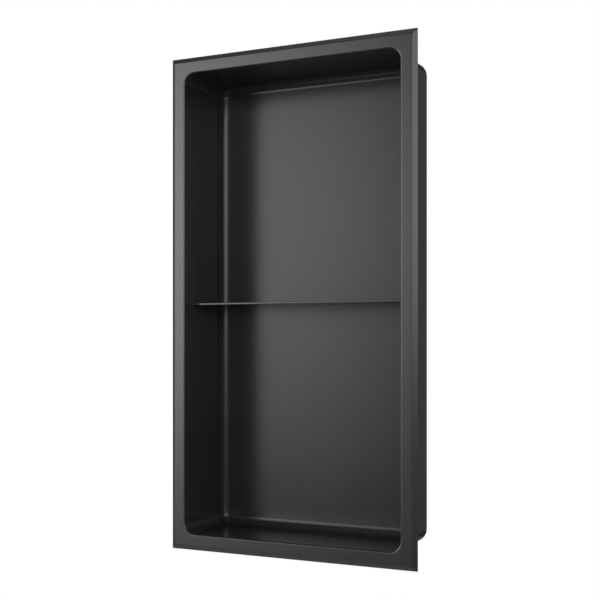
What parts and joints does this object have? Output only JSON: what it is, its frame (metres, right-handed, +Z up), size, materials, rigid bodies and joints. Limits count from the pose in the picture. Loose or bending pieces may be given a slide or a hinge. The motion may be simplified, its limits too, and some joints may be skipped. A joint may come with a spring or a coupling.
{
  "type": "shower niche insert",
  "caption": "Tall rectangular recessed wall niche in matt black sheet steel, with rounded tub corners, a bevelled flange round the mouth and a thin fixed shelf, for bottles in a shower.",
  "frame": {"origin": "middle of the flange's seat, on the finished wall surface", "axes": "+Z up, +Y into the wall, -Y out into the room, +X to the right as seen from the room"},
  "size_m": [0.342, 0.1012, 0.642],
  "materials": {
    "coated_shell": "satin matt black coating on stainless sheet",
    "coated_shelf": "satin matt black coating on stainless plate"
  },
  "bodies": {
    "root": {"niche_body": "coated_shell", "shelf": "coated_shelf"}
  },
  "joints": []
}
